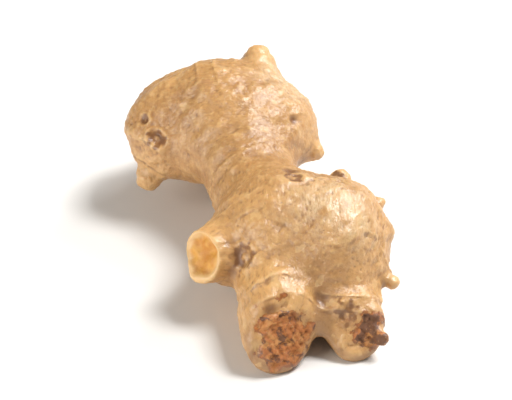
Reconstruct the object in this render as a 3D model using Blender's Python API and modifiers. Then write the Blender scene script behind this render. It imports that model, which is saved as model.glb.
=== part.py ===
"""Fresh ginger root: one piece of rhizome lying on a table, as it was snapped from a larger hand.

It grew as one body, so it is one object. A thick front lobe carries two blunt fingers and a cut shoot. A
short neck joins it to a raised back lobe, and a heel lobe behind that one reaches the table and ends in the
scar where the piece was snapped off. Leaf rings, buds, eyes and root scars are raised from it by formula.

    blender --background --python part.py
"""

import math
from dataclasses import dataclass

import bmesh
import bpy
import numpy as np
from mathutils import Vector

MM = 0.001
NAME = "rhizome"
GROUP = "ginger_root"

# Driving dimensions. A lobe that lies on the table has its middle one radius above it.
FRONT_RADIUS = 12.8 * MM
NECK_RADIUS = 7.4 * MM
BACK_RADIUS = 11.6 * MM
BACK_HEIGHT = 17.5 * MM  # of the back lobe's middle above the table
HEEL_RADIUS = 8.8 * MM
LEFT_FINGER_RADIUS = 6.9 * MM
RIGHT_FINGER_RADIUS = 5.6 * MM
SHOOT_RADIUS = 4.8 * MM
REST_DEPTH = 0.4 * MM  # pressed flat where a belly lies on the table

# Relief of the skin.
RING_HEIGHT = 0.32 * MM
RING_STEEP = 0.5 * MM  # width of a ring's side towards the tip
RING_GENTLE = 1.5 * MM  # and of its side towards the foot
RING_WAVER = 0.7 * MM
RING_REACH = 2 * MM  # over which the rings of one lobe give way to the next one's
LUMPS = ((14 * MM, 0.32 * MM), (5 * MM, 0.11 * MM))  # length and height of each kind
CALM_HEIGHT = 4 * MM  # the relief fades out from here down to the table

ROOT_SCARS = 9  # on the underside
VOXEL = 0.6 * MM  # of the skin before it is thinned out
LONGEST_STEP = 1 * MM  # of a point on its way to the surface
MOST_TRIANGLES = 10800
FLAT_MARGIN = 0.03 * MM  # a point lower than this lies on the table

SKIN_COLOUR = (0.60, 0.40, 0.21, 1)
SKIN_ROUGHNESS = 0.6


@dataclass
class Lobe:
    """A rounded stem from foot to tip, fused to the lobes before it over the length blend.

    A cut one ends in a flat face across its axis, or at right angles to face, that many tip radii past its
    tip, and hollowed by the length hollow. Leaf rings of that height cross a lobe at right angles to grows,
    about ring_gap apart.
    """

    name: str
    foot: tuple
    tip: tuple
    foot_radius: float
    tip_radius: float
    blend: float = 5 * MM
    cut: float = 0
    face: tuple = (0, 0, 0)
    cut_rounding: float = 1 * MM
    hollow: float = 0
    grows: tuple = (0, 0, 0)
    ring_gap: float = 5 * MM
    ring_height: float = RING_HEIGHT

    def __post_init__(self):
        self.foot, self.tip = np.array(self.foot, float), np.array(self.tip, float)
        self.length = np.linalg.norm(self.tip - self.foot)
        self.axis = (self.tip - self.foot) / self.length
        self.face, self.grows = (
            np.array(way) / np.linalg.norm(way) if any(way) else self.axis for way in (self.face, self.grows)
        )
        self.end = self.tip + self.axis * self.cut * self.tip_radius


@dataclass
class Mark:
    """A spot of relief where the skin is nearest to the point at, stretched along the direction long."""

    kind: str
    at: tuple
    radius: float
    height: float
    long: tuple = (1, 0, 0)
    stretch: float = 1


def millimetres(*values):
    return tuple(value * MM for value in values)


LOBES = [
    Lobe("front", (4.5 * MM, 3 * MM, FRONT_RADIUS), (12.3 * MM, 0, FRONT_RADIUS), FRONT_RADIUS,
         FRONT_RADIUS, grows=(0.15, -1, -0.1), ring_gap=5.5 * MM, ring_height=0.8 * RING_HEIGHT),
    Lobe("neck", millimetres(2, 8, 12.5), millimetres(-3.5, 28, 16), NECK_RADIUS, 1.3 * NECK_RADIUS,
         ring_gap=4 * MM, ring_height=0.7 * RING_HEIGHT),
    Lobe("back", (-7 * MM, 35.7 * MM, BACK_HEIGHT), (1 * MM, 33.5 * MM, BACK_HEIGHT), BACK_RADIUS,
         0.8 * BACK_RADIUS, grows=(-1, 0.1, -0.1), ring_height=0.5 * RING_HEIGHT),
    Lobe("back_end", (-7 * MM, 35.7 * MM, BACK_HEIGHT), millimetres(-14.6, 36.6, 16.2), BACK_RADIUS,
         0.88 * BACK_RADIUS, 4 * MM, grows=(-1, 0.1, -0.1), ring_height=0.6 * RING_HEIGHT),
    Lobe("heel", millimetres(-4, 38, 14), (-9 * MM, 46 * MM, HEEL_RADIUS), 1.08 * HEEL_RADIUS, HEEL_RADIUS,
         4 * MM, cut=0.7, cut_rounding=1.5 * MM, hollow=0.3 * MM),
    Lobe("left_finger", millimetres(3.5, -4, 9.5), (4.3 * MM, -24.5 * MM, LEFT_FINGER_RADIUS),
         1.2 * LEFT_FINGER_RADIUS, LEFT_FINGER_RADIUS, 3 * MM, cut=-0.16, face=(0.3, -0.8, 0.4),
         cut_rounding=4.5 * MM, hollow=0.5 * MM),
    Lobe("right_finger", millimetres(15, -3, 8), (18.2 * MM, -20.3 * MM, RIGHT_FINGER_RADIUS),
         1.18 * RIGHT_FINGER_RADIUS, RIGHT_FINGER_RADIUS, 3.5 * MM, cut=-0.14, face=(0.1, -0.8, 0.4),
         cut_rounding=3.5 * MM, hollow=0.4 * MM),
    Lobe("shoot", millimetres(-4, 0.5, 11.5), millimetres(-10.4, -5.7, 14), 1.35 * SHOOT_RADIUS,
         SHOOT_RADIUS, 2.5 * MM, cut=0.1, cut_rounding=0.6 * MM, hollow=0.7 * MM),
    Lobe("crown", millimetres(1.5, 37, 20), millimetres(-0.6, 45, 26.7), 7 * MM, 2.7 * MM, 3 * MM),
    Lobe("toe", millimetres(-19.3, 32.6, 13.6), millimetres(-21.8, 30, 9), 7 * MM, 3 * MM, 3 * MM),
    Lobe("knuckle", millimetres(6, 33, 15), millimetres(11, 30, 14), 3.5 * MM, 2.2 * MM, 2 * MM),
    Lobe("ringed_bud", millimetres(12.5, 8, 16), millimetres(15.6, 11.6, 19.8), 3.2 * MM, 2 * MM, 1.5 * MM),
    Lobe("side_bud", millimetres(19, 5, 14), millimetres(22.8, 7.3, 17), 3 * MM, 1.4 * MM, 1.5 * MM),
    Lobe("broken_bud", millimetres(21, -4.5, 10), millimetres(25, -7, 9), 2.6 * MM, 1.1 * MM, 1.5 * MM),
    Lobe("finger_bud", millimetres(20.5, -17, 5), millimetres(23, -19.4, 5), 2 * MM, 1.1 * MM, 1 * MM),
]
LOBE = {lobe.name: lobe for lobe in LOBES}

MARKS = [
    Mark("eye", millimetres(-3, -8.1, 15.2), 2.4 * MM, 1 * MM),
    Mark("eye", millimetres(-20, 27.9, 18.6), 1.7 * MM, 0.9 * MM, long=(1, 0, -0.6), stretch=1.7),
    Mark("eye", millimetres(-22.6, 31.1, 20.9), 1.2 * MM, 0.5 * MM, long=(1, 0, -0.3), stretch=1.8),
    Mark("eye", millimetres(17, -17.5, 9.5), 1.8 * MM, 0.55 * MM),
    Mark("pit", millimetres(6.2, 6, 25.3), 1.3 * MM, 0.6 * MM),
    Mark("eye", millimetres(6.8, 2.6, 25.6), 1.5 * MM, 0.4 * MM, stretch=1.4),
    Mark("pit", millimetres(6.5, 27.8, 23), 0.9 * MM, 0.5 * MM),
    Mark("pit", millimetres(2.4, -21.2, 12.6), 1.2 * MM, 0.4 * MM),
    Mark("pit", millimetres(-3.2, 33, 29), 1.6 * MM, 0.45 * MM, long=(0.6, -1, -0.2), stretch=2.6),
    Mark("bump", millimetres(8.6, 28.2, 16.2), 1.5 * MM, 0.5 * MM),
    Mark("bump", millimetres(25.2, 1.2, 15.4), 2.4 * MM, 1.5 * MM),
    Mark("bump", millimetres(24, -3, 17), 1.5 * MM, 0.4 * MM),
    Mark("bump", millimetres(-6.8, 12.5, 17.7), 2 * MM, 0.4 * MM),
    Mark("eye", millimetres(9, 14, 6), 1.9 * MM, 0.6 * MM),
    Mark("eye", millimetres(4, 42, 14), 2 * MM, 0.7 * MM),
]


def soft_union(first, second, blend):
    """The lesser of two distances, rounded over the length blend where they cross."""
    share = np.clip(0.5 + 0.5 * (second - first) / blend, 0, 1)
    return second + (first - second) * share - blend * share * (1 - share)


def lobe_distance(points, lobe):
    along = np.clip((points - lobe.foot) @ lobe.axis / lobe.length, 0, 1)
    off_axis = np.linalg.norm(points - lobe.foot - along[:, None] * lobe.length * lobe.axis, axis=1)
    distance = off_axis - lobe.foot_radius - along * (lobe.tip_radius - lobe.foot_radius)
    if lobe.cut:
        distance = -soft_union(-distance, -(points - lobe.end) @ lobe.face, lobe.cut_rounding)
    return distance


def body_distance(points):
    distance = lobe_distance(points, LOBES[0])
    for lobe in LOBES[1:]:
        distance = soft_union(distance, lobe_distance(points, lobe), lobe.blend)
    return distance


def slope_of_body(points, step=0.05 * MM):
    """The body distance's slope, from its values at the corners of a small tetrahedron."""
    slope = np.zeros_like(points)
    for corner in ((1, -1, -1), (-1, -1, 1), (-1, 1, -1), (1, 1, 1)):
        slope += np.array(corner) * body_distance(points + np.array(corner) * step)[:, None]
    return slope / (4 * step)


def settled(points, rounds=8):
    """The points moved onto the body's surface, and its outward direction there."""
    for _ in range(rounds):
        slope = slope_of_body(points)
        step = body_distance(points) / (slope**2).sum(axis=1)
        points = points - slope * np.clip(step, -LONGEST_STEP, LONGEST_STEP)[:, None]
    slope = slope_of_body(points)
    return points, slope / np.linalg.norm(slope, axis=1)[:, None]


def waves(points, length, seed):
    """Smooth random heights, about one up and down: a sum of waves of that length in seeded directions."""
    draw = np.random.default_rng(seed)
    directions = draw.normal(size=(14, 3))
    directions /= np.linalg.norm(directions, axis=1)[:, None]
    starts = draw.uniform(0, math.tau, 14)
    return np.cos(points @ directions.T * (math.tau / length) + starts).sum(axis=1) / math.sqrt(7)


def lobe_shares(points):
    """How far each lobe owns each point, as shares that add up to one."""
    distances = np.array([lobe_distance(points, lobe) for lobe in LOBES])
    shares = np.exp(-(distances - distances.min(axis=0)) / RING_REACH)
    return shares / shares.sum(axis=0)


def ring_relief(points):
    """Leaf rings: ridges across each lobe at uneven gaps, steeper towards its tip, fading out in places."""
    height = np.zeros(len(points))
    waver = RING_WAVER * waves(points, 15 * MM, 11)
    for lobe, share in zip(LOBES, lobe_shares(points)):
        turns = ((points - lobe.foot) @ lobe.grows + waver) / lobe.ring_gap
        turns += 0.25 * np.sin(2.4 * turns)
        past = (turns % 1) * lobe.ring_gap
        ridge = np.exp(-(past / RING_STEEP)**2) + np.exp(-((lobe.ring_gap - past) / RING_GENTLE)**2)
        height += share * lobe.ring_height * ridge
    strength = 0.55 + 0.45 * np.tanh(2 * waves(points, 17 * MM, 12))
    return strength * height


def mark_shape(kind, away):
    """Height of a mark at away radii from its middle, as a share of the mark's own height."""
    if kind == "eye":  # a saucer with a raised rim and a bud in the middle
        rim, saucer, bud = (np.exp(-((away - at) / wide)**2) for at, wide in ((1, 0.3), (0, 0.7), (0, 0.3)))
        return 0.4 * rim - saucer + 0.7 * bud
    if kind == "scar":  # a low cone with a hole, where a root broke off
        return np.exp(-((away - 0.6) / 0.4)**2) - 0.6 * np.exp(-(away / 0.3)**2)
    bell = np.exp(-away**2)
    return -bell if kind == "pit" else bell


def mark_relief(points, marks):
    height = np.zeros(len(points))
    for mark in marks:
        middle, _ = settled(np.array([mark.at]))
        offset = points - middle
        long = np.array(mark.long) / np.linalg.norm(mark.long)
        offset -= (offset @ long)[:, None] * long * (1 - 1 / mark.stretch)
        height += mark.height * mark_shape(mark.kind, np.linalg.norm(offset, axis=1) / mark.radius)
    return height


def root_scars():
    """Root scars on the undersides of the lobes, placed by a seeded draw."""
    draw = np.random.default_rng(5)
    owners = [LOBE[name] for name in ("front", "neck", "back_end")]
    scars = []
    for count in range(ROOT_SCARS):
        lobe = owners[count % len(owners)]
        spot = lobe.foot + draw.uniform(0.1, 0.9) * lobe.length * lobe.axis
        turn, drop = draw.uniform(0, math.tau), draw.uniform(0.35, 0.9)
        away = np.array([math.cos(turn), math.sin(turn), -drop])
        spot = spot + lobe.foot_radius * away / np.linalg.norm(away)
        scars.append(Mark("scar", tuple(spot), draw.uniform(0.9, 1.3) * MM, 0.4 * MM))
    return scars


def end_relief(points):
    """The hollow, uneven faces of the cut and broken ends."""
    height = np.zeros(len(points))
    for lobe in LOBES:
        if not lobe.cut:
            continue
        offset = points - lobe.end
        away = np.linalg.norm(offset - (offset @ lobe.axis)[:, None] * lobe.axis, axis=1) / lobe.tip_radius
        on_face = np.clip(1 + offset @ lobe.face / lobe.cut_rounding, 0, 1)
        inside = np.clip((0.9 - away) / 0.25, 0, 1)
        height -= lobe.hollow * on_face * inside * (1 + 0.3 * waves(points, 3 * MM, 13))
    return height


def relief(points):
    """Height of the skin above the smooth body. It fades out where the piece lies on the table."""
    height = ring_relief(points) + mark_relief(points, MARKS + root_scars()) + end_relief(points)
    for seed, (length, lump) in enumerate(LUMPS):
        height += lump * waves(points, length, 20 + seed)
    return height * np.clip(points[:, 2] / CALM_HEIGHT, 0, 1)


def rough_solid():
    """Overlapping balls along every lobe, as one mesh."""
    rough = bmesh.new()
    for lobe in LOBES:
        foot, tip = Vector(lobe.foot), Vector(lobe.tip)
        balls = 2 + math.ceil(lobe.length / (0.4 * lobe.tip_radius))
        for share in np.linspace(0, 1, balls):
            radius = lobe.foot_radius + share * (lobe.tip_radius - lobe.foot_radius)
            ball = bmesh.ops.create_uvsphere(rough, u_segments=24, v_segments=12, radius=radius)
            bmesh.ops.translate(rough, verts=ball["verts"], vec=foot.lerp(tip, share))
    mesh = bpy.data.meshes.new("rough")
    rough.to_mesh(mesh)
    rough.free()
    return mesh


def evaluated(mesh, kind, **settings):
    """A new mesh: this one after one modifier."""
    guide = bpy.data.objects.new("guide", mesh)
    bpy.context.scene.collection.objects.link(guide)
    modifier = guide.modifiers.new(kind, kind)
    for name, value in settings.items():
        setattr(modifier, name, value)
    graph = bpy.context.evaluated_depsgraph_get()
    made = bpy.data.meshes.new_from_object(guide.evaluated_get(graph))
    bpy.data.objects.remove(guide)
    return made


def points_of(mesh):
    flat = np.empty(len(mesh.vertices) * 3)
    mesh.vertices.foreach_get("co", flat)
    return flat.reshape(-1, 3)


def move_points(mesh, points):
    mesh.vertices.foreach_set("co", points.ravel())
    mesh.update()


def rhizome_mesh():
    mesh = rough_solid()
    for _ in range(2):  # the second skin has none of the first one's folds in the clefts
        mesh = evaluated(mesh, "REMESH", mode="VOXEL", voxel_size=VOXEL)
        points, normals = settled(points_of(mesh))
        move_points(mesh, points)
    points += normals * relief(points)[:, None]
    points[:, 2] = np.maximum(points[:, 2] - REST_DEPTH, 0)
    move_points(mesh, points)
    triangles = sum(len(face.vertices) - 2 for face in mesh.polygons)
    mesh = evaluated(mesh, "DECIMATE", ratio=min(1, MOST_TRIANGLES / triangles))
    points = points_of(mesh)
    middle = (points.min(axis=0) + points.max(axis=0)) / 2
    points -= (middle[0], middle[1], 0)  # the origin is on the table under the middle of the piece
    points[:, 2] = np.where(points[:, 2] < FLAT_MARGIN, 0, points[:, 2])
    move_points(mesh, points)
    mesh.shade_smooth()
    return mesh


def skin_material():
    material = bpy.data.materials.new("ginger_skin")
    material.use_nodes = True
    surface = material.node_tree.nodes["Principled BSDF"]
    surface.inputs["Base Color"].default_value = SKIN_COLOUR
    surface.inputs["Roughness"].default_value = SKIN_ROUGHNESS
    surface.inputs["Metallic"].default_value = 0
    return material


def main():
    for old in list(bpy.data.objects):
        bpy.data.objects.remove(old)
    group = bpy.data.collections.new(GROUP)
    bpy.context.scene.collection.children.link(group)
    rhizome = bpy.data.objects.new(NAME, rhizome_mesh())
    rhizome.data.materials.append(skin_material())
    group.objects.link(rhizome)


main()
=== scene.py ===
import math

import bmesh
import bpy
import numpy as np
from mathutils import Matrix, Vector
from mathutils.kdtree import KDTree


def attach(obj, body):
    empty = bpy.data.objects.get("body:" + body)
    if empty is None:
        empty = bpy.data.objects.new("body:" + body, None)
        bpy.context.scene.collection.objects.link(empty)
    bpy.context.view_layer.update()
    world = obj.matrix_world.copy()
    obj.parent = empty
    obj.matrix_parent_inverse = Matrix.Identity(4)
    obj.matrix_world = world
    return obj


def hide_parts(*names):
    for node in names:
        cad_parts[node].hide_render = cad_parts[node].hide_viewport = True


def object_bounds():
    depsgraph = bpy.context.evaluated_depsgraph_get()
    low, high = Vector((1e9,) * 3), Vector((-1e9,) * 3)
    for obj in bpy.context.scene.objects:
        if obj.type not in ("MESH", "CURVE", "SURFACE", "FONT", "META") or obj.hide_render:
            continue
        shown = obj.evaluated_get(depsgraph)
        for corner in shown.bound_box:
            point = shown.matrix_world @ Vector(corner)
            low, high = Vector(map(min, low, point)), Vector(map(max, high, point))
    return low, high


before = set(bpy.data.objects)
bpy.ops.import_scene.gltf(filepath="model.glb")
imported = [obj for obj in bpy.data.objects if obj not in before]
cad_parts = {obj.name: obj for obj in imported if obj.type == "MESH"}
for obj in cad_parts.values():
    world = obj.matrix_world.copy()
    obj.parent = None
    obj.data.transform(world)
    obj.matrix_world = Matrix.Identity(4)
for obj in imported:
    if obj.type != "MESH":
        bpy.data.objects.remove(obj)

cadBox = [list(corner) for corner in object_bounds()]
mm = 0.001
print("frame loaded, box", cadBox)


def lobe(foot, tip, footRadius, tipRadius, blend=5, cut=0, face=None, cutRounding=1, hollow=0, grows=None,
         ringGap=5, ringSize=1, ringLook=1):
    foot, tip = np.array(foot, float), np.array(tip, float)
    length = np.linalg.norm(tip - foot)
    axis = (tip - foot) / length
    face, grows = (axis if way is None else np.array(way) / np.linalg.norm(way) for way in (face, grows))
    return dict(foot=foot, tip=tip, footRadius=footRadius, tipRadius=tipRadius, blend=blend, cut=cut,
                face=face, cutRounding=cutRounding, hollow=hollow, grows=grows, ringGap=ringGap,
                ringSize=ringSize, ringLook=ringLook, length=length, axis=axis,
                end=tip + axis * cut * tipRadius)


# The body, all in millimetres. Lobes are round stems from foot to tip, each fused to the ones before it.
# A cut one ends in a flat face, that many tip radii past its tip. ringSize and ringLook are how
# high its rings are and how plain their edges.
radius = {"front": 12.8, "neck": 7.4, "back": 11.6, "heel": 8.8, "leftFinger": 6.9, "rightFinger": 5.6,
          "shoot": 4.8}
backHeight = 17.5
lobes = {
    "front": lobe((4.5, 3, radius["front"]), (12.3, 0, radius["front"]), radius["front"], radius["front"],
                  grows=(0.15, -1, -0.1), ringGap=5.5, ringSize=0.8, ringLook=0.6),
    "neck": lobe((2, 8, 12.5), (-3.5, 28, 16), radius["neck"], 1.3 * radius["neck"], ringGap=4,
                 ringSize=0.7, ringLook=0.5),
    "back": lobe((-7, 35.7, backHeight), (1, 33.5, backHeight), radius["back"], 0.8 * radius["back"],
                 grows=(-1, 0.1, -0.1), ringSize=0.5, ringLook=0.4),
    "backEnd": lobe((-7, 35.7, backHeight), (-14.6, 36.6, 16.2), radius["back"], 0.88 * radius["back"], 4,
                    grows=(-1, 0.1, -0.1), ringSize=0.6, ringLook=0.6),
    "heel": lobe((-4, 38, 14), (-9, 46, radius["heel"]), 1.08 * radius["heel"], radius["heel"], 4, cut=0.7,
                 cutRounding=1.5, hollow=0.3),
    "leftFinger": lobe((3.5, -4, 9.5), (4.3, -24.5, radius["leftFinger"]), 1.2 * radius["leftFinger"],
                       radius["leftFinger"], 3, cut=-0.16, face=(0.3, -0.8, 0.4), cutRounding=4.5,
                       hollow=0.5),
    "rightFinger": lobe((15, -3, 8), (18.2, -20.3, radius["rightFinger"]), 1.18 * radius["rightFinger"],
                        radius["rightFinger"], 3.5, cut=-0.14, face=(0.1, -0.8, 0.4), cutRounding=3.5,
                        hollow=0.4),
    "shoot": lobe((-4, 0.5, 11.5), (-10.4, -5.7, 14), 1.35 * radius["shoot"], radius["shoot"], 2.5, cut=0.1,
                  cutRounding=0.6, hollow=0.7),
    "crown": lobe((1.5, 37, 20), (-0.6, 45, 26.7), 7, 2.7, 3),
    "toe": lobe((-19.3, 32.6, 13.6), (-21.8, 30, 9), 7, 3, 3),
    "knuckle": lobe((6, 33, 15), (11, 30, 14), 3.5, 2.2, 2),
    "ringedBud": lobe((12.5, 8, 16), (15.6, 11.6, 19.8), 3.2, 2, 1.5),
    "sideBud": lobe((19, 5, 14), (22.8, 7.3, 17), 3, 1.4, 1.5),
    "brokenBud": lobe((21, -4.5, 10), (25, -7, 9), 2.6, 1.1, 1.5),
    "fingerBud": lobe((20.5, -17, 5), (23, -19.4, 5), 2, 1.1, 1),
}

youngNames = ("leftFinger", "rightFinger", "shoot")  # with paler skin
budNames = ("crown", "toe", "knuckle", "ringedBud", "sideBud", "brokenBud", "fingerBud")

# Spots of relief: kind, place near the skin, radius, height, stretched in which direction, by which factor
marks = [
    ("eye", (-2.6, -8.4, 15.4), 2.5, 0.9, (1, 0, 0), 1.15),
    ("eye", (-20, 27.9, 18.6), 1.7, 0.9, (1, 0, -0.6), 1.7),
    ("eye", (-22.6, 31.1, 20.9), 1.2, 0.5, (1, 0, -0.3), 1.8),
    ("eye", (16.8, -17.8, 9.4), 2.3, 0.5, (1, 0, 0), 1),
    ("pit", (6.2, 6, 25.3), 1.3, 0.6, (1, 0, 0), 1),
    ("eye", (6.8, 2.6, 25.6), 1.5, 0.4, (1, 0, 0), 1.4),
    ("pit", (6.5, 27.8, 23), 0.9, 0.5, (1, 0, 0), 1),
    ("pit", (2.4, -21.2, 12.6), 1.2, 0.4, (1, 0, 0), 1),
    ("groove", (-3.2, 33, 29), 1.6, 0.45, (0.6, -1, -0.2), 2.6),
    ("bump", (8.6, 28.2, 16.2), 1.5, 0.5, (1, 0, 0), 1),
    ("bump", (25.2, 1.2, 15.4), 2.4, 1.5, (1, 0, 0), 1),
    ("bump", (24, -3, 17), 1.5, 0.4, (1, 0, 0), 1),
    ("bump", (-6.8, 12.5, 17.7), 2, 0.4, (1, 0, 0), 1),
    ("eye", (14.6, 10.2, 22), 1.5, 0.3, (1, 0, 0), 1),
    ("eye", (9, 14, 6), 1.9, 0.6, (1, 0, 0), 1),
    ("eye", (4, 42, 14), 2, 0.7, (1, 0, 0), 1),
]

skin = {
    "voxel": 0.34,  # of the fine mesh
    "coarseVoxel": 0.6,
    "restDepth": 0.4,  # pressed flat where it lies on the table
    "calmHeight": 4,  # the relief fades out from here down
    "ringHeight": 0.32,
    "ringSteep": 0.5,  # reach of its steep side and of its gentle one
    "ringGentle": 1.5,
    "ringWaver": 0.7,
    "ringReach": 2,  # how far the rings of neighbouring lobes run into each other
    "lipHeight": 0.12,  # the thin papery edge on top of each ring
    "lipSteep": 0.18,
    "lipGentle": 0.5,
    "lineOff": 0.4,  # the dark line past each ring, scale remains and partly painted shade below the ring's step
    "lineWidth": 0.25,
    "wrinkleGap": 0.9,  # of the fine creases beside the rings
    "wrinkleHeight": 0.05,
    "budRingGap": 1.4,
    "budRingHeight": 0.1,
    "budRingSteep": 0.2,
    "budRingGentle": 0.6,
    "lumps": ((14, 0.32), (5, 0.11)),  # length and height
    "grain": ((2.4, 0.06), (1.2, 0.02)),
    "streak": 7,  # how many times longer than wide the fibres of the skin are
    "fibreWidth": 0.75,
    "fibreHeight": 0.035,
    "rubDepth": 0.05,  # where the thin outer skin is rubbed off
    "rootScars": 9,
    "rootScarHeight": 0.4,
}

cork = {
    "crumbs": 220,  # on all the scabs together
    "crumbSeam": 0.35,  # from the seam between two up to their flat tops
    "crumbHeight": 0.17,
    "sunk": 0.05,
    "edgeHeight": 0.14,  # the raised edge of a scab
    "edgeWidth": 1.1,
    "stainWidth": 2.4,  # of the stained skin round it
    "lumps": ((1.3, 0.11), (0.8, 0.04)),  # length and height
}

# Brown patches without cork: place and radius. The first, low on the right finger, is partly painted shade.
stains = [
    ((17.4, -18.6, 8), 4.4),
    ((6.2, 6, 25), 3.4),
    ((3, -20.8, 12.2), 3),
]

# Broad changes of tone, place and reach: paler, drier skin that is partly a painted highlight, and older,
# browner skin that is partly painted shade
dryAndHighlightPatches = [((12.5, -3.5, 25), 8), ((18, -7, 22), 5), ((5.5, 38, 25), 7)]
brownAndShadePatches = [((-4, 19, 23.5), 11), ((7.5, -10, 18.7), 8), ((-12, 30, 24), 7)]

# Brown corky patches: place, radius, how far the edge wanders, depth, and how dark it is
scabs = [
    ((5.2, -22.6, 7.3), 5.1, 0.8, 0.3, 0),
    ((20.9, -19.1, 6.2), 2.9, 0.6, 0.3, 0.2),
    ((-13.4, 53, 7.4), 7.4, 0.9, 0.3, 0.03),
]


def softUnion(first, second, blend):
    share = np.clip(0.5 + 0.5 * (second - first) / blend, 0, 1)
    return second + (first - second) * share - blend * share * (1 - share)


def lobeDistance(points, stem):
    along = np.clip((points - stem["foot"]) @ stem["axis"] / stem["length"], 0, 1)
    offAxis = np.linalg.norm(points - stem["foot"] - along[:, None] * stem["length"] * stem["axis"], axis=1)
    distance = offAxis - stem["footRadius"] - along * (stem["tipRadius"] - stem["footRadius"])
    if stem["cut"]:
        distance = -softUnion(-distance, -(points - stem["end"]) @ stem["face"], stem["cutRounding"])
    return distance


def bodyDistance(points):
    distance = None
    for stem in lobes.values():
        own = lobeDistance(points, stem)
        distance = own if distance is None else softUnion(distance, own, stem["blend"])
    return distance


def bodySlope(points, step=0.05):  # from the corners of a small tetrahedron
    slope = np.zeros_like(points)
    for corner in ((1, -1, -1), (-1, -1, 1), (-1, 1, -1), (1, 1, 1)):
        slope += np.array(corner) * bodyDistance(points + np.array(corner) * step)[:, None]
    return slope / (4 * step)


def settle(points, rounds=8):  # onto the body; gives the points, their normals and how open the spots are
    for _ in range(rounds):
        slope = bodySlope(points)
        step = bodyDistance(points) / (slope**2).sum(axis=1)
        points = points - slope * np.clip(step, -1, 1)[:, None]
    slope = bodySlope(points)
    steepness = np.linalg.norm(slope, axis=1)
    return points, slope / steepness[:, None], steepness


def waves(points, length, seed):  # smooth random heights, about one up and down
    draw = np.random.default_rng(seed)
    directions = draw.normal(size=(14, 3))
    directions /= np.linalg.norm(directions, axis=1)[:, None]
    starts = draw.uniform(0, math.tau, 14)
    return np.cos(points @ directions.T * (math.tau / length) + starts).sum(axis=1) / math.sqrt(7)


def lobeShares(points):
    distances = np.array([lobeDistance(points, stem) for stem in lobes.values()])
    shares = np.exp(-(distances - distances.min(axis=0)) / skin["ringReach"])
    return shares / shares.sum(axis=0)


def ringTurns(points, stem):  # how many rings of its lobe each point is past
    along = (points - stem["foot"]) @ stem["grows"] + skin["ringWaver"] * waves(points, 15, 11)
    turns = along / stem["ringGap"]
    return turns + 0.25 * np.sin(2.4 * turns)


def ringProfile(past, gap, steep, gentle):  # highest at a ring, falling steeply past it and gently before it
    return np.exp(-(past / steep)**2) + np.exp(-((gap - past) / gentle)**2)


def leafRings(points, shares):  # the ridge of each ring, its thin lip, the dark line (partly painted shade) and the wrinkles by it
    ridge, lip, line, wrinkle = np.zeros((4, len(points)))
    for stem, share in zip(lobes.values(), shares):
        gap = stem["ringGap"]
        past = (ringTurns(points, stem) % 1) * gap
        ridge += share * stem["ringSize"] * ringProfile(past, gap, skin["ringSteep"], skin["ringGentle"])
        plain = share * stem["ringLook"]
        lip += plain * ringProfile(past, gap, skin["lipSteep"], skin["lipGentle"])
        line += plain * np.exp(-((past - skin["lineOff"]) / skin["lineWidth"])**2)
        ripple = np.sin(math.tau * (past + 0.3 * waves(points, 4, 15)) / skin["wrinkleGap"])
        wrinkle += share * ripple * np.exp(-np.minimum(past, gap - past) / 1.2)
    strength = 0.55 + 0.45 * np.tanh(2 * waves(points, 17, 12))
    ragged = np.clip(0.6 + 0.6 * waves(points, 2.6, 14), 0, 1)
    wrinkle *= np.clip(0.5 + waves(points, 7, 16), 0, 1)
    return ridge * strength, lip * strength * ragged, line * strength * ragged, wrinkle


def budRings(points, shares):  # fine rings round the buds
    height = np.zeros(len(points))
    gap = skin["budRingGap"]
    for (name, stem), share in zip(lobes.items(), shares):
        if name in budNames:
            past = ((points - stem["foot"]) @ stem["axis"] + 0.3 * waves(points, 4, 17)) % gap
            height += share * ringProfile(past, gap, skin["budRingSteep"], skin["budRingGentle"])
    return height


def markShape(kind, away):
    if kind == "eye":
        rim, saucer, bud = (np.exp(-((away - at) / wide)**2) for at, wide in ((1, 0.3), (0, 0.7), (0, 0.3)))
        return 0.4 * rim - saucer + 0.7 * bud
    if kind == "scar":
        return np.exp(-((away - 0.6) / 0.4)**2) - 0.6 * np.exp(-(away / 0.3)**2)
    bell = np.exp(-away**2)
    return bell if kind == "bump" else -bell  # a pit or a groove


def markDistance(points, at, size, long, stretch):  # from the mark's middle, in radii
    middle = settle(np.array([at], float))[0]
    offset = points - middle
    long = np.array(long) / np.linalg.norm(long)
    offset -= (offset @ long)[:, None] * long * (1 - 1 / stretch)
    return np.linalg.norm(offset, axis=1) / size


def rootScars():  # on the undersides, seeded
    draw = np.random.default_rng(5)
    owners = [lobes[name] for name in ("front", "neck", "backEnd")]
    scars = []
    for count in range(skin["rootScars"]):
        stem = owners[count % len(owners)]
        spot = stem["foot"] + draw.uniform(0.1, 0.9) * stem["length"] * stem["axis"]
        turn, drop = draw.uniform(0, math.tau), draw.uniform(0.35, 0.9)
        away = np.array([math.cos(turn), math.sin(turn), -drop])
        spot = spot + stem["footRadius"] * away / np.linalg.norm(away)
        scars.append(("scar", tuple(spot), draw.uniform(0.9, 1.3), skin["rootScarHeight"], (1, 0, 0), 1))
    return scars


def endFaces(points):  # the hollow, uneven faces of the cut and broken ends
    height = np.zeros(len(points))
    for stem in lobes.values():
        if stem["cut"]:
            offset = points - stem["end"]
            away = np.linalg.norm(offset - (offset @ stem["axis"])[:, None] * stem["axis"], axis=1)
            onFace = np.clip(1 + offset @ stem["face"] / stem["cutRounding"], 0, 1)
            onFace *= np.clip((0.9 - away / stem["tipRadius"]) / 0.25, 0, 1)
            height -= stem["hollow"] * onFace * (1 + 0.3 * waves(points, 3, 13))
    return height


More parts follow.
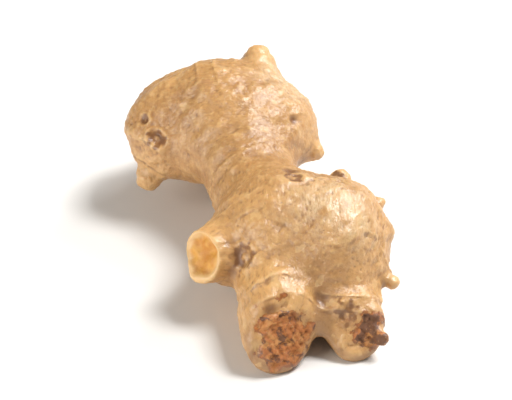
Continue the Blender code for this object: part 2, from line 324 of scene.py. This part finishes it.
def shootFace(points):  # one on the cut flesh; the distance from its middle; one on the whole cut end
    stem = lobes["shoot"]
    past = (points - stem["end"]) @ stem["axis"]
    away = np.linalg.norm(points - stem["end"] - past[:, None] * stem["axis"], axis=1) / stem["tipRadius"]
    on = np.clip(1 + (past + 0.1) / 0.8, 0, 1) * np.clip((1.6 - away) / 0.3, 0, 1)
    return on * np.clip((0.84 - away + 0.04 * waves(points, 2.5, 31)) / 0.1, 0, 1), away, on


def flowPlaces(points):  # squeezed along the way they grow, so that a noise there is drawn out to fibres
    distances = np.array([lobeDistance(points, stem) for stem in lobes.values()])
    shares = np.exp(-(distances - distances.min(axis=0)) / 4)
    shares /= shares.sum(axis=0)
    flow = points.copy()
    for stem, share in zip(lobes.values(), shares):
        along = (points - stem["foot"]) @ stem["grows"] * (1 - 1 / skin["streak"])
        flow -= (share * along)[:, None] * stem["grows"]
    return flow


def scabMask(points, at, size, wander):  # one on the cork; and one that fades out over the skin round it
    wandering = wander * (waves(points, 4.2, 51) + 0.4 * waves(points, 1.5, 52))
    inside = size + wandering - np.linalg.norm(points - np.array(at), axis=1)
    return np.clip(inside / cork["edgeWidth"], 0, 1), np.clip(1 + inside / cork["stainWidth"], 0, 1)


def crumbMargins(points):  # how far inside a crumb of the cork each point is
    draw = np.random.default_rng(71)
    chosen = draw.choice(len(points), cork["crumbs"], replace=False)
    places = points[chosen] + draw.normal(0, 0.2, (cork["crumbs"], 3))
    tree = KDTree(len(places))
    for count, place in enumerate(places):
        tree.insert(place, count)
    tree.balance()
    found = np.array([[hit[2] for hit in tree.find_n(point, 2)] for point in points])
    return found[:, 1] - found[:, 0]


def scabRelief(points):  # its height and masks
    height, scab, near, dark, plates = np.zeros((5, len(points)))
    for at, size, wander, depth, darkness in scabs:
        own, ownNear = scabMask(points, at, size, wander)
        edge = np.exp(-((own - 0.5) / 0.35)**2) * (own > 0) * (own < 1)
        height += cork["edgeHeight"] * edge - depth * own
        scab = np.maximum(scab, own)
        near = np.maximum(near, ownNear)
        dark = np.maximum(dark, darkness * own)
    onScab = np.flatnonzero(scab > 0)
    plates[onScab] = np.clip(crumbMargins(points[onScab]) / cork["crumbSeam"], 0, 1)
    crumbs = cork["crumbHeight"] * plates - cork["sunk"]
    for seed, (length, lump) in enumerate(cork["lumps"]):
        crumbs += lump * waves(points, length, 72 + seed)
    return height + scab * crumbs, {"scab": scab, "scabNear": near, "scabDark": dark, "plates": plates}


def markRelief(points):  # its height and masks
    height, eye, pit, scar = np.zeros((4, len(points)))
    for kind, at, size, tall, long, stretch in marks + rootScars():
        away = markDistance(points, at, size, long, stretch)
        height += tall * markShape(kind, away)
        if kind == "eye":
            ragged = away + 0.16 * waves(points, 1.6, 61) + 0.08 * waves(points, 0.8, 62)
            blotch = np.clip(0.8 + 0.45 * waves(points, 1.9, 63), 0.3, 1)
            eye = np.maximum(eye, np.exp(-((ragged - 0.6) / 0.4)**2) * blotch)
        elif kind == "pit":
            pit = np.maximum(pit, np.exp(-(away / 1.35)**2))
        elif kind == "scar":
            scar = np.maximum(scar, np.exp(-(away / 0.9)**2))
    return height, {"eye": eye, "pit": pit, "rootScar": scar}


def stainMask(points):
    stain = np.zeros(len(points))
    for at, size in stains:
        away = np.linalg.norm(points - np.array(at), axis=1) + 0.5 * waves(points, 3, 53)
        stain = np.maximum(stain, 0.8 * np.clip(1.2 * (1 - away / size), 0, 1))
    return stain


def softPatches(points, patches):  # one in the middle of a patch, fading out past its reach
    strength = np.zeros(len(points))
    for at, reach in patches:
        away = np.linalg.norm(points - np.array(at), axis=1) / reach
        strength = np.maximum(strength, np.exp(-1.5 * away**2))
    return strength * np.clip(0.85 + 0.3 * waves(points, 3, 54), 0, 1)


def roughBody():
    rough = bmesh.new()
    for stem in lobes.values():
        foot, tip = Vector(stem["foot"]), Vector(stem["tip"])
        for share in np.linspace(0, 1, 2 + math.ceil(stem["length"] / (0.4 * stem["tipRadius"]))):
            size = stem["footRadius"] + share * (stem["tipRadius"] - stem["footRadius"])
            ball = bmesh.ops.create_uvsphere(rough, u_segments=24, v_segments=12, radius=size)
            bmesh.ops.translate(rough, verts=ball["verts"], vec=foot.lerp(tip, share))
    mesh = bpy.data.meshes.new("rough")
    rough.to_mesh(mesh)
    rough.free()
    return mesh


def remeshed(mesh, voxel):
    guide = bpy.data.objects.new("guide", mesh)
    bpy.context.scene.collection.objects.link(guide)
    modifier = guide.modifiers.new("remesh", "REMESH")
    modifier.mode = "VOXEL"
    modifier.voxel_size = voxel
    made = bpy.data.meshes.new_from_object(guide.evaluated_get(bpy.context.evaluated_depsgraph_get()))
    bpy.data.objects.remove(guide)
    return made


def pointsOf(mesh):
    flat = np.empty(len(mesh.vertices) * 3)
    mesh.vertices.foreach_get("co", flat)
    return flat.reshape(-1, 3)


def movePoints(mesh, points):
    mesh.vertices.foreach_set("co", points.ravel())
    mesh.update()


def curviness(mesh, points, normals, rounds=3):  # above zero on ridges, below in creases
    edges = np.empty(len(mesh.edges) * 2, int)
    mesh.edges.foreach_get("vertices", edges)
    edges = edges.reshape(-1, 2)
    count = np.bincount(edges.ravel(), minlength=len(points))

    def around(values):
        total = np.zeros_like(values)
        np.add.at(total, edges[:, 0], values[edges[:, 1]])
        np.add.at(total, edges[:, 1], values[edges[:, 0]])
        return total / (count if values.ndim == 1 else count[:, None])

    curve = ((points - around(points)) * normals).sum(axis=1)
    for _ in range(rounds):
        curve = 0.5 * curve + 0.5 * around(curve)
    return curve


def settledBody():  # the smooth body as a fine mesh
    mesh = roughBody()
    for voxel in (skin["coarseVoxel"], skin["coarseVoxel"], skin["voxel"]):
        mesh = remeshed(mesh, voxel)
        points, normals, openness = settle(pointsOf(mesh))
        movePoints(mesh, points)
    print("fine mesh settled,", len(points), "points")
    return mesh, points, normals, openness


def skinRelief(points, shares, flow, openness):  # the whole relief of the skin and most of its masks
    ridge, lip, line, wrinkle = leafRings(points, shares)
    markHeight, masks = markRelief(points)
    scabHeight, scabMasks = scabRelief(points)
    height = skin["ringHeight"] * ridge + endFaces(points) + markHeight + scabHeight
    for seed, (length, lump) in enumerate(skin["lumps"]):
        height += lump * waves(points, length, 20 + seed)

    # the finest relief, which the solid doesn't have
    fibre = waves(flow, skin["fibreWidth"], 41) + 0.6 * waves(flow, 0.6 * skin["fibreWidth"], 42)
    rubbed = np.clip((waves(flow, 2.6, 43) + 0.4 * waves(flow, 1.1, 44) - 1.7) / 0.2, 0, 1)
    rubbed *= 1 - scabMasks["scab"]
    flesh, cutAway, cutFace = shootFace(points)
    fine = skin["lipHeight"] * lip + skin["wrinkleHeight"] * wrinkle - skin["rubDepth"] * rubbed
    fine += skin["budRingHeight"] * budRings(points, shares)
    fine += skin["fibreHeight"] * fibre * (1 - flesh) * (1 - 0.6 * rubbed)
    for seed, (length, grain) in enumerate(skin["grain"]):
        fine += grain * waves(points, length, 80 + seed)
    fine += flesh * (0.02 * waves(points, 1.1, 33) - 0.05 * np.exp(-((cutAway - 0.6) / 0.06)**2))
    height += fine * np.clip(openness, 0, 1)**2
    height *= np.clip(points[:, 2] / skin["calmHeight"], 0, 1)
    # creaseShade is one in the creases between lobes, where painted shade goes
    return height, {**masks, **scabMasks, "lip": lip, "ringLine": line, "rubbed": rubbed, "flesh": flesh,
                    "cutAway": cutAway, "cutFace": cutFace, "creaseShade": 1 - openness,
                    "stain": stainMask(points)}


def tipMask(points):  # one at the ends of the buds
    tips = np.zeros(len(points))
    for stem in (lobes[name] for name in budNames):
        away = np.linalg.norm(points - stem["tip"], axis=1)
        tips = np.maximum(tips, np.exp(-(away / (1.7 * stem["tipRadius"] + 0.5))**2))
    return tips


def fitted(points):  # in metres, on the part's middle and inside its box
    middle = (points.min(axis=0) + points.max(axis=0)) / 2 * (1, 1, 0)
    points = (points - middle) * mm
    room = np.array([max(-low, high) for low, high in zip(*cadBox)])
    return points * np.minimum(1, room / np.abs(points).max(axis=0)), middle


def makeRhizome():
    mesh, smooth, normals, openness = settledBody()
    shares = lobeShares(smooth)
    flow = flowPlaces(smooth)
    height, masks = skinRelief(smooth, shares, flow, openness)
    points = smooth + normals * height[:, None]
    points[:, 2] = np.maximum(points[:, 2] - skin["restDepth"], 0)
    masks["curve"] = curviness(mesh, points, normals)
    points, middle = fitted(points)
    movePoints(mesh, points)

    body = points / mm + middle
    masks["young"] = sum(share for name, share in zip(lobes, shares) if name in youngNames)
    masks["tips"] = tipMask(body)
    # paler and browner patches, partly a painted highlight and painted shade
    masks["dryAndHighlight"] = softPatches(body, dryAndHighlightPatches)
    masks["brownedAndShade"] = softPatches(body, brownAndShadePatches)
    for name, values in masks.items():
        mesh.attributes.new(name, "FLOAT", "POINT").data.foreach_set("value", values.astype(np.float32))
    mesh.attributes.new("flow", "FLOAT_VECTOR", "POINT").data.foreach_set("vector", (flow * mm).ravel())
    mesh.shade_smooth()
    rhizome = bpy.data.objects.new("gingerRhizome", mesh)
    bpy.context.scene.collection.objects.link(rhizome)
    print("rhizome made,", 2 * len(mesh.polygons), "triangles")
    return rhizome, {"smooth": smooth, "points": points, "normals": normals, "shares": shares}


# Papery rests of the leaves that sat on the rings, in millimetres and degrees. Each place is a lobe, one of
# its rings, and the turns round the lobe between which the rest lies.
leafRests = {
    "width": 1.1,
    "thickness": 0.08,
    "lift": 0.22,  # of its free edge
    "sunk": (0.15, 0.12),  # its foot, back from the ring and into the skin
    "rows": 5,
    "step": 3,  # degrees between two points along it
    "places": (("neck", 3, -128, -86), ("backEnd", 3, 66, 126), ("heel", 2, 10, 76)),
}

# Short broken roots on the root scars
rootStubs = {
    "radius": 0.42,
    "length": (0.7, 2.0),
    "sunk": 0.5,
    "bend": 0.35,
    "taper": 0.45,  # of the radius, from foot to tip
    "endHollow": 0.12,
    "sides": 14,
    "rings": 9,
}


def newPiece(name, number, mesh):  # a bmesh as an object of the scene
    piece = bpy.data.meshes.new(name)
    mesh.to_mesh(piece)
    mesh.free()
    thing = bpy.data.objects.new("%s%d" % (name, number), piece)
    bpy.context.scene.collection.objects.link(thing)
    return thing


def alongRing(name, ring, angles, body):  # places on the skin, the ways out of it and the ways up the lobe
    stem, share = lobes[name], body["shares"][list(lobes).index(name)]
    off = np.abs(ringTurns(body["smooth"], stem) - ring) * stem["ringGap"]
    side = np.cross(stem["grows"], (0, 0, 1))
    side /= np.linalg.norm(side)
    up = np.cross(side, stem["grows"])
    away = body["smooth"] - stem["foot"]
    turn = np.degrees(np.arctan2(away @ side, away @ up))
    base, outward = [], []
    for angle in angles:
        close = np.exp(-(off / 0.3)**2 - ((turn - angle) / 3)**2) * (share > 0.3) + 1e-12
        base.append((body["points"] * close[:, None]).sum(axis=0) / close.sum())
        outward.append((body["normals"] * close[:, None]).sum(axis=0) / close.sum())
    base, outward = np.array(base), np.array(outward)
    outward /= np.linalg.norm(outward, axis=1)[:, None]
    way = stem["grows"] - (outward @ stem["grows"])[:, None] * outward
    return base, outward, way / np.linalg.norm(way, axis=1)[:, None]


def thicken(thing, thickness):
    modifier = thing.modifiers.new("thickness", "SOLIDIFY")
    modifier.thickness = thickness
    modifier.offset = 0
    piece = bpy.data.meshes.new_from_object(thing.evaluated_get(bpy.context.evaluated_depsgraph_get()))
    thing.modifiers.clear()
    thing.data = piece


def makeLeafRest(number, place, body):
    name, ring, start, stop = place
    angles = np.arange(start, stop + 0.1, leafRests["step"])
    base, outward, way = alongRing(name, ring, angles, body)
    taper = np.clip(np.sin(math.pi * (angles - start) / (stop - start)) * 2.5, 0, 1)
    torn = 0.65 + 0.3 * waves(base / mm, 2.6, 90) + 0.2 * waves(base / mm, 1, 91)
    width = leafRests["width"] * taper * np.clip(torn, 0.1, 1.2)
    back, deep = leafRests["sunk"]
    mesh = bmesh.new()
    fray = mesh.verts.layers.float.new("fray")
    grid = []
    for row in np.linspace(0, 1, leafRests["rows"]):
        lift = leafRests["lift"] * row**1.5 * (1 + 0.4 * waves(base / mm, 3, 92)) - deep
        reach, rise = width * row - back, lift * (0.3 + 0.7 * taper)
        places = base + mm * (way * reach[:, None] + outward * rise[:, None])
        grid.append([mesh.verts.new(point) for point in places])
        for vert in grid[-1]:
            vert[fray] = row
    for low, high in zip(grid, grid[1:]):
        for count in range(len(low) - 1):
            mesh.faces.new((low[count], low[count + 1], high[count + 1], high[count]))
    thing = newPiece("leafRest", number, mesh)
    thicken(thing, leafRests["thickness"] * mm)
    thing.data.shade_smooth()
    return thing


def makeRootStub(number, scar, body):
    draw = np.random.default_rng(200 + number)
    middle = settle(np.array([scar[1]], float))[0][0]
    nearest = np.argmin(np.linalg.norm(body["smooth"] - middle, axis=1))
    foot, out = body["points"][nearest] / mm, body["normals"][nearest]
    length = draw.uniform(*rootStubs["length"])
    bend = draw.normal(0, rootStubs["bend"], 3)
    bend[2] = abs(bend[2])
    across = np.cross(out, (0.3, 0.5, 0.8))
    across /= np.linalg.norm(across)
    over = np.cross(out, across)
    mesh = bmesh.new()
    rings = []
    for share in np.linspace(0, 1, rootStubs["rings"]):
        at = foot + out * (share * (length + rootStubs["sunk"]) - rootStubs["sunk"]) + bend * share**2 * 0.6
        at[2] = max(at[2], rootStubs["radius"] + 0.05)
        ring = []
        for turn in np.arange(rootStubs["sides"]) * math.tau / rootStubs["sides"]:
            spot = across * math.cos(turn) + over * math.sin(turn)
            uneven = 1 + 0.12 * waves((foot + 2 * spot + share)[None], 1.5, 95)[0]
            size = rootStubs["radius"] * (1.25 - rootStubs["taper"] * share) * uneven
            ragged = 0.25 * share**6 * waves((foot + 3 * spot)[None], 1.2, 96)[0]
            ring.append(mesh.verts.new((at + spot * size + out * ragged) * mm))
        rings.append(ring)
    for low, high in zip(rings, rings[1:]):
        for count in range(len(low)):
            after = (count + 1) % len(low)
            mesh.faces.new((low[count], low[after], high[after], high[count]))
    mesh.faces.new(rings[0][::-1])
    hollow = rootStubs["endHollow"] * mm
    bmesh.ops.inset_region(mesh, faces=[mesh.faces.new(rings[-1])], thickness=hollow, depth=-hollow)
    bmesh.ops.recalc_face_normals(mesh, faces=mesh.faces)
    thing = newPiece("rootStub", number, mesh)
    thing.data.shade_smooth()
    return thing


# Short ways to write the nodes of a material
def newMaterial(name):
    material = bpy.data.materials.new(name)
    material.use_nodes = True
    return material, material.node_tree, material.node_tree.nodes["Principled BSDF"]


def addNode(tree, kind, inputs, **settings):
    node = tree.nodes.new("ShaderNode" + kind)
    for name, value in settings.items():
        setattr(node, name, value)
    for name, value in inputs.items():
        if isinstance(value, bpy.types.NodeSocket):
            tree.links.new(value, node.inputs[name])
        else:
            node.inputs[name].default_value = value
    return node


def mask(tree, name):
    return addNode(tree, "Attribute", {}, attribute_name=name).outputs["Fac"]


def noise(tree, place, size, detail, roughness, warp=0):  # size in millimetres
    return addNode(tree, "TexNoise", {"Vector": place, "Scale": 1 / (size * mm), "Detail": detail,
                                      "Roughness": roughness, "Distortion": warp}).outputs["Fac"]


def ease(tree, value, low, high, toLow=0, toHigh=1):
    return addNode(tree, "MapRange", {"Value": value, "From Min": low, "From Max": high, "To Min": toLow,
                                      "To Max": toHigh}, interpolation_type="SMOOTHSTEP").outputs[0]


def calc(tree, operation, first, second):
    return addNode(tree, "Math", {0: first, 1: second}, operation=operation).outputs[0]


def blendColour(tree, share, base, top):
    return addNode(tree, "Mix", {0: share, 6: base, 7: top}, data_type="RGBA").outputs[2]


def layered(tree, look, colour, layers):  # each colour of the look over the ones before it
    for name, share in layers:
        colour = blendColour(tree, share, colour, look[name])
    return colour


def bump(tree, surface, look, height):
    bumpy = addNode(tree, "Bump", {"Strength": look["bumpStrength"], "Distance": look["bumpDepth"] * mm,
                                   "Height": height})
    tree.links.new(bumpy.outputs[0], surface.inputs["Normal"])


skinLook = {
    "buff": (0.55, 0.30, 0.108, 1),
    "tan": (0.43, 0.218, 0.072, 1),
    "brown": (0.30, 0.138, 0.041, 1),
    "cream": (0.68, 0.43, 0.185, 1),
    "speckle": (0.30, 0.14, 0.05, 1),
    # painted shade for creases and hollows, also used for the dark ring lines
    "creaseShade": (0.24, 0.11, 0.04, 1),
    "rubbed": (0.70, 0.455, 0.205, 1),
    "young": (0.70, 0.405, 0.155, 1),
    "dryAndHighlight": (0.72, 0.54, 0.33, 1),
    "brownedAndShade": (0.33, 0.17, 0.06, 1),
    "tip": (0.72, 0.44, 0.185, 1),
    "eyeBrown": (0.19, 0.075, 0.022, 1),
    "stain": (0.34, 0.155, 0.045, 1),
    "rust": (0.40, 0.125, 0.018, 1),
    "darkScab": (0.115, 0.04, 0.012, 1),
    "paleScab": (0.50, 0.21, 0.05, 1),
    "flesh": (0.54, 0.215, 0.02, 1),
    "fleshPale": (0.66, 0.33, 0.052, 1),
    "rim": (0.74, 0.48, 0.21, 1),
    "roughness": (0.31, 0.45),
    "specular": 0.8,
    "softness": 0.12,  # how much light goes in under the skin
    "softReach": (1.0, 0.45, 0.18),  # of red, green and blue light
    "softScale": 1.6,  # this and all below but the strength are in millimetres
    "bumpStrength": 0.6,
    "bumpDepth": 0.16,
    "patchSize": 12,
    "mottleSize": 2.6,
    "streakSize": 0.9,
    "threadSize": 0.32,
    "speckleSize": 0.5,
}


def skinColour(tree, place, streaks, threads, speckle):
    patches = noise(tree, place, skinLook["patchSize"], 3, 0.6)
    mottle = noise(tree, place, skinLook["mottleSize"], 4, 0.62, 0.3)
    paperyAndHighlight = calc(tree, "MULTIPLY", mask(tree, "dryAndHighlight"), ease(tree, threads, 0.62, 0.42, 0.35, 0.85))
    roundScabs = calc(tree, "MULTIPLY", mask(tree, "scabNear"), 0.8)
    stained = calc(tree, "MAXIMUM", mask(tree, "stain"), roundScabs)
    blotches = calc(tree, "MULTIPLY", stained, ease(tree, noise(tree, place, 1.6, 3, 0.6), 0.3, 0.62))
    ground = blendColour(tree, ease(tree, patches, 0.36, 0.64), skinLook["tan"], skinLook["buff"])
    return layered(tree, skinLook, ground, (
        ("young", ease(tree, mask(tree, "young"), 0, 0.9, 0, 0.5)),
        # browner patches: older skin, partly painted shade
        ("brownedAndShade", calc(tree, "MULTIPLY", mask(tree, "brownedAndShade"), 0.55)),
        ("brown", ease(tree, mottle, 0.52, 0.72, 0, 0.62)),
        ("cream", ease(tree, mottle, 0.46, 0.28, 0, 0.5)),
        ("brown", ease(tree, streaks, 0.54, 0.72, 0, 0.45)),
        ("cream", ease(tree, streaks, 0.46, 0.3, 0, 0.4)),
        # paler dry patches: papery skin, partly a painted highlight
        ("dryAndHighlight", paperyAndHighlight),
        ("brown", ease(tree, threads, 0.58, 0.72, 0, 0.3)),
        ("speckle", ease(tree, speckle, 0.66, 0.76, 0, 0.6)),
        # paler on ridges and darker in hollows: a painted highlight on the ridges and painted shade in the
        # hollows
        ("cream", ease(tree, mask(tree, "curve"), 0.004, 0.03, 0, 0.5)),
        ("creaseShade", ease(tree, mask(tree, "curve"), -0.003, -0.025, 0, 0.65)),
        ("tip", ease(tree, mask(tree, "tips"), 0.1, 0.9, 0, 0.5)),
        # painted shade in the creases between lobes
        ("creaseShade", ease(tree, mask(tree, "creaseShade"), 0.05, 0.45, 0, 0.65)),
        ("cream", ease(tree, mask(tree, "lip"), 0.15, 0.8, 0, 0.6)),
        # the dark line past each ring: scale remains, partly painted shade
        ("creaseShade", ease(tree, mask(tree, "ringLine"), 0.1, 0.7, 0, 0.75)),
        ("rubbed", ease(tree, mask(tree, "rubbed"), 0.1, 0.9, 0, 0.45)),
        ("stain", calc(tree, "MULTIPLY", blotches, 0.75)),
        ("brown", ease(tree, mask(tree, "rootScar"), 0.2, 0.9, 0, 0.7)),
        ("eyeBrown", ease(tree, mask(tree, "pit"), 0.2, 0.9, 0, 0.8)),
        ("eyeBrown", ease(tree, mask(tree, "eye"), 0.1, 0.8, 0, 0.85)),
    ))


def corkColour(tree, place):
    rusty = ease(tree, noise(tree, place, 3.2, 4, 0.65, 0.6), 0.44, 0.58)
    darkPlaces = calc(tree, "ADD", noise(tree, place, 2.4, 4, 0.7, 0.4), mask(tree, "scabDark"))
    return layered(tree, skinLook, skinLook["rust"], (
        ("paleScab", rusty),
        ("darkScab", ease(tree, darkPlaces, 0.52, 0.63, 0, 0.9)),
        ("darkScab", ease(tree, mask(tree, "plates"), 0.4, 0.05, 0, 0.4)),
    ))


def fleshColour(tree, place):
    return layered(tree, skinLook, skinLook["flesh"], (
        ("fleshPale", ease(tree, noise(tree, place, 2.2, 3, 0.6), 0.35, 0.65)),
        ("rim", ease(tree, mask(tree, "cutAway"), 0.6, 0.95)),
    ))


def skinMaterial():
    look = skinLook
    material, tree, surface = newMaterial("gingerSkin")
    place = addNode(tree, "TexCoord", {}).outputs["Object"]
    flow = addNode(tree, "Attribute", {}, attribute_name="flow").outputs["Vector"]
    streaks = noise(tree, flow, look["streakSize"], 3, 0.6)
    threads = noise(tree, flow, look["threadSize"], 3, 0.6)
    speckle = noise(tree, place, look["speckleSize"], 2, 0.5)

    flecks = calc(tree, "MULTIPLY", noise(tree, place, 1.0, 4, 0.65), 1.1)
    edge = calc(tree, "ADD", calc(tree, "MULTIPLY", mask(tree, "scabNear"), 0.75), flecks)
    colour = skinColour(tree, place, streaks, threads, speckle)
    colour = blendColour(tree, ease(tree, edge, 1.04, 1.2), colour, corkColour(tree, place))
    colour = blendColour(tree, mask(tree, "cutFace"), colour, look["rim"])
    colour = blendColour(tree, mask(tree, "flesh"), colour, fleshColour(tree, place))
    tree.links.new(colour, surface.inputs["Base Color"])

    gloss = ease(tree, streaks, 0.3, 0.7, *look["roughness"])
    gloss = calc(tree, "ADD", gloss, calc(tree, "MULTIPLY", mask(tree, "scab"), 0.4))
    gloss = calc(tree, "ADD", gloss, calc(tree, "MULTIPLY", mask(tree, "flesh"), 0.2))
    tree.links.new(gloss, surface.inputs["Roughness"])
    surface.inputs["Specular IOR Level"].default_value = look["specular"]
    surface.inputs["Subsurface Weight"].default_value = look["softness"]
    surface.inputs["Subsurface Radius"].default_value = look["softReach"]
    surface.inputs["Subsurface Scale"].default_value = look["softScale"] * mm

    fine = calc(tree, "ADD", calc(tree, "MULTIPLY", streaks, 0.8), threads)
    fine = calc(tree, "ADD", fine, calc(tree, "MULTIPLY", noise(tree, place, 0.4, 3, 0.6), 0.5))
    fine = calc(tree, "SUBTRACT", fine, calc(tree, "MULTIPLY", ease(tree, speckle, 0.6, 0.8), 0.6))
    crumbs = calc(tree, "MULTIPLY", noise(tree, place, 0.55, 4, 0.7), mask(tree, "scab"))
    fine = calc(tree, "ADD", fine, calc(tree, "MULTIPLY", crumbs, 2.5))
    bump(tree, surface, look, fine)
    return material


leafLook = {
    "tan": (0.66, 0.41, 0.18, 1),
    "brown": (0.46, 0.25, 0.09, 1),
    "edge": (0.34, 0.17, 0.06, 1),
    "roughness": 0.5,
    "bumpStrength": 0.6,
    "bumpDepth": 0.15,
}


def leafRestMaterial():
    look = leafLook
    material, tree, surface = newMaterial("leafRest")
    place = addNode(tree, "TexCoord", {}).outputs["Object"]
    mottle = ease(tree, noise(tree, place, 0.7, 4, 0.65), 0.4, 0.64)
    colour = blendColour(tree, mottle, look["tan"], look["brown"])
    worn = calc(tree, "ADD", mask(tree, "fray"), noise(tree, place, 0.9, 3, 0.6))
    colour = blendColour(tree, ease(tree, worn, 1.0, 1.6, 0, 0.8), colour, look["edge"])
    tree.links.new(colour, surface.inputs["Base Color"])
    surface.inputs["Roughness"].default_value = look["roughness"]
    bump(tree, surface, look, noise(tree, place, 0.4, 4, 0.65))
    return material


rootLook = {
    "tan": (0.52, 0.31, 0.14, 1),
    "brown": (0.28, 0.13, 0.05, 1),
    "roughness": 0.65,
    "bumpStrength": 0.7,
    "bumpDepth": 0.15,
}


def rootStubMaterial():
    look = rootLook
    material, tree, surface = newMaterial("rootStub")
    place = addNode(tree, "TexCoord", {}).outputs["Object"]
    mottle = ease(tree, noise(tree, place, 0.8, 4, 0.65), 0.38, 0.62)
    colour = blendColour(tree, mottle, look["tan"], look["brown"])
    tree.links.new(colour, surface.inputs["Base Color"])
    surface.inputs["Roughness"].default_value = look["roughness"]
    bump(tree, surface, look, noise(tree, place, 0.35, 4, 0.65))
    return material


floorLook = {"size": 2.4, "colour": (0.82, 0.815, 0.80, 1), "roughness": 0.7}


def makeFloor():
    bpy.ops.mesh.primitive_plane_add(size=floorLook["size"])
    floor = bpy.context.object
    floor.name = "floor"
    material, _, surface = newMaterial("paleFloor")
    surface.inputs["Base Color"].default_value = floorLook["colour"]
    surface.inputs["Roughness"].default_value = floorLook["roughness"]
    floor.data.materials.append(material)


# place and size in metres, power in watts
lights = {
    "key": dict(at=(0.38, 0.32, 0.40), size=0.26, power=2.1, colour=(1, 0.99, 0.98)),
    "side": dict(at=(0.27, 0.04, 0.52), size=0.2, power=3.4, colour=(1, 0.99, 0.98)),
    "fill": dict(at=(-0.37, -0.25, 0.16), size=0.34, power=1.75, colour=(1, 0.96, 0.90)),
}
sky = {"colour": (1, 0.99, 0.975, 1), "strength": 0.23}
lightTarget = (0, 0, 0.01)


def aimAt(thing, target):
    thing.rotation_mode = "QUATERNION"
    thing.rotation_quaternion = (Vector(target) - thing.location).to_track_quat("-Z", "Y")


def makeLights():
    for name, light in lights.items():
        lamp = bpy.data.lights.new(name, "AREA")
        lamp.size = light["size"]
        lamp.energy = light["power"]
        lamp.color = light["colour"]
        thing = bpy.data.objects.new(name, lamp)
        bpy.context.scene.collection.objects.link(thing)
        thing.location = light["at"]
        aimAt(thing, lightTarget)
    world = bpy.data.worlds.new("studio")
    world.use_nodes = True
    world.node_tree.nodes["Background"].inputs["Color"].default_value = sky["colour"]
    world.node_tree.nodes["Background"].inputs["Strength"].default_value = sky["strength"]
    bpy.context.scene.world = world


# degrees, metres, and the lens in millimetres
view = {"turn": 0.4, "rise": 33.1, "distance": 0.622, "lens": 228, "target": (-0.0005, 0.0, 0.0125)}


def makeCamera():
    camera = bpy.data.objects.new("camera", bpy.data.cameras.new("camera"))
    bpy.context.scene.collection.objects.link(camera)
    turn, rise = math.radians(view["turn"]), math.radians(view["rise"])
    back = Vector((math.sin(turn) * math.cos(rise), -math.cos(turn) * math.cos(rise), math.sin(rise)))
    camera.location = Vector(view["target"]) + back * view["distance"]
    aimAt(camera, view["target"])
    camera.data.lens = view["lens"]
    camera.data.clip_start = 0.01
    bpy.context.scene.camera = camera


rhizome, body = makeRhizome()
rhizome.data.materials.append(skinMaterial())
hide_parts("rhizome")
leafMaterial, rootMaterial = leafRestMaterial(), rootStubMaterial()
leaves = [makeLeafRest(number, place, body) for number, place in enumerate(leafRests["places"], 1)]
roots = [makeRootStub(number, scar, body) for number, scar in enumerate(rootScars(), 1)]
print("made", len(leaves), "leaf rests and", len(roots), "root stubs")
for piece in leaves:
    piece.data.materials.append(leafMaterial)
for piece in roots:
    piece.data.materials.append(rootMaterial)
for piece in (rhizome, *leaves, *roots):
    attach(piece, "root")
makeFloor()
makeLights()
makeCamera()
bpy.context.scene.view_settings.view_transform = "Standard"
print("scene set")
